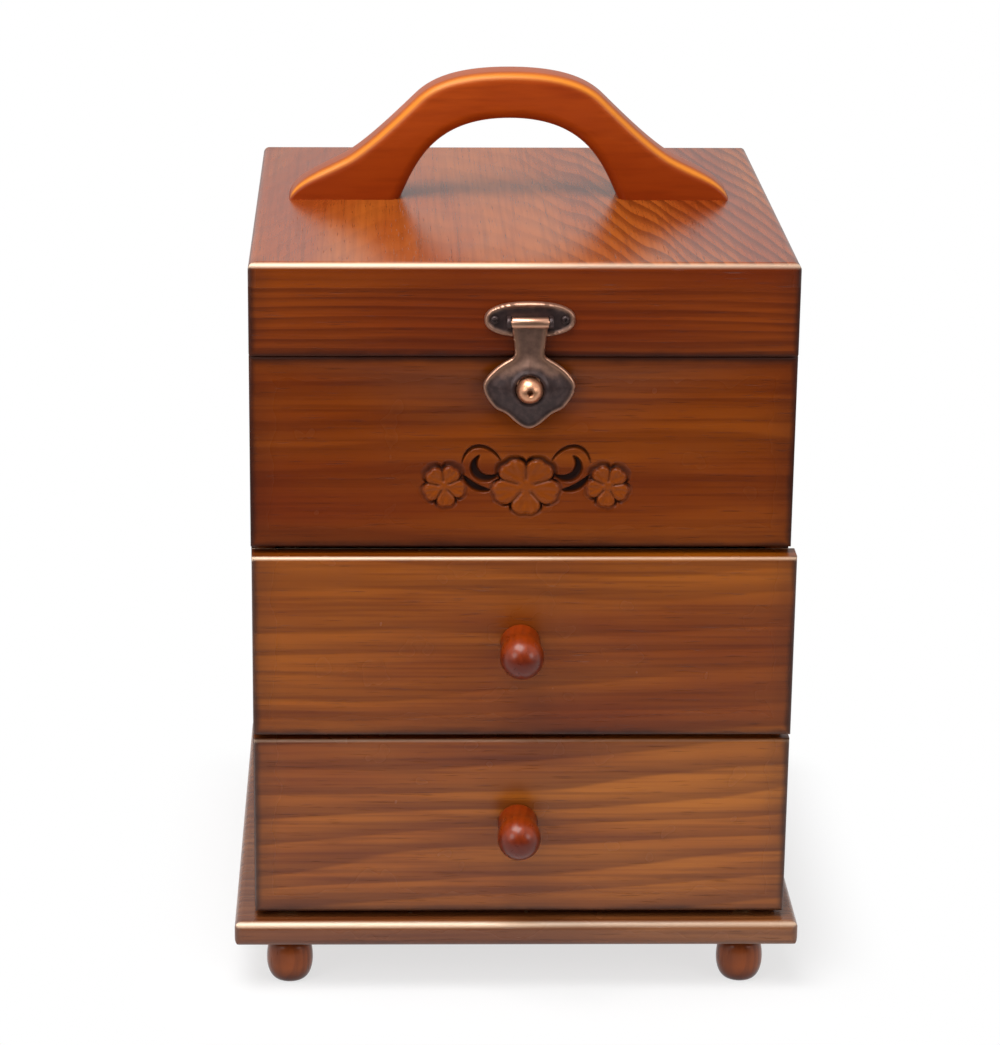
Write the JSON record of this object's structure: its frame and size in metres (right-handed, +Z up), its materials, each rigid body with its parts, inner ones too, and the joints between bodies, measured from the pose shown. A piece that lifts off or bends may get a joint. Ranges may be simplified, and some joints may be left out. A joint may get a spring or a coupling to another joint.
{
  "type": "makeup box",
  "caption": "Wooden makeup box on bun feet with a hinged mirror lid, an arched carrying handle, a hasp latch, a carved front and sliding drawers with turned knobs.",
  "frame": {"origin": "centre of the underside of the box that bounds the resting object, on the floor under the feet", "axes": "+Z up, +X to the right as seen from the front, +Y to the back; the drawers and the latch face -Y"},
  "size_m": [0.218, 0.2392, 0.3398],
  "materials": {
    "walnut_wood": "semi-gloss lacquer",
    "amber_wood": "gloss lacquer",
    "cherry_wood": "gloss lacquer",
    "pale_wood": "matt",
    "bronze": "antique, rubbed edges",
    "copper": "polished",
    "steel": "plain",
    "felt": "felt",
    "mirror": "silvered"
  },
  "bodies": {
    "cabinet": {"base_board": "walnut_wood", "front_left_foot": "cherry_wood", "front_right_foot": "cherry_wood", "back_left_foot": "cherry_wood", "back_right_foot": "cherry_wood", "left_side": "walnut_wood", "right_side": "walnut_wood", "back_panel": "walnut_wood", "upper_front": "walnut_wood", "upper_floor": "walnut_wood", "drawer_divider": "walnut_wood", "compartment_lining": "felt", "base_screws": "steel", "left_hinge_body_leaf": "bronze", "right_hinge_body_leaf": "bronze", "hinge_body_screws": "bronze", "left_hinge_pin": "copper", "right_hinge_pin": "copper", "latch_stud": "copper"},
    "lid": {"lid_top": "walnut_wood", "lid_front_rail": "walnut_wood", "lid_back_rail": "walnut_wood", "lid_left_rail": "walnut_wood", "lid_right_rail": "walnut_wood", "lid_mirror": "mirror", "mirror_front_bead": "walnut_wood", "mirror_right_bead": "walnut_wood", "mirror_back_bead": "walnut_wood", "mirror_left_bead": "walnut_wood", "handle": "amber_wood", "handle_screws": "steel", "left_hinge_lid_leaf": "bronze", "right_hinge_lid_leaf": "bronze", "hinge_lid_screws": "bronze", "latch_plate": "bronze", "latch_screws": "bronze", "latch_pin": "copper"},
    "hasp": {"hasp": "bronze"},
    "upper_drawer": {"upper_drawer_front": "walnut_wood", "upper_drawer_left_side": "pale_wood", "upper_drawer_right_side": "pale_wood", "upper_drawer_back": "pale_wood", "upper_drawer_bottom": "pale_wood", "upper_drawer_lining": "felt", "upper_drawer_knob": "cherry_wood", "upper_drawer_knob_screw": "steel"},
    "lower_drawer": {"lower_drawer_front": "walnut_wood", "lower_drawer_left_side": "pale_wood", "lower_drawer_right_side": "pale_wood", "lower_drawer_back": "pale_wood", "lower_drawer_bottom": "pale_wood", "lower_drawer_lining": "felt", "lower_drawer_knob": "cherry_wood", "lower_drawer_knob_screw": "steel"}
  },
  "joints": [
    {"name": "lid_hinge", "type": "hinge", "parent": "cabinet", "child": "lid", "pos_m": [0, 0.11485, 0.25365], "axis": [-1, 0, 0], "range_deg": [0, 100]},
    {"name": "hasp_swing", "type": "hinge", "parent": "lid", "child": "hasp", "pos_m": [0.002, -0.09645, 0.2678], "axis": [-1, 0, 0], "range_deg": [0, 150]},
    {"name": "upper_drawer_slide", "type": "slide", "parent": "cabinet", "child": "upper_drawer", "axis": [0, -1, 0], "range_m": [-0.002, 0.118]},
    {"name": "lower_drawer_slide", "type": "slide", "parent": "cabinet", "child": "lower_drawer", "axis": [0, -1, 0], "range_m": [0, 0.12]}
  ]
}
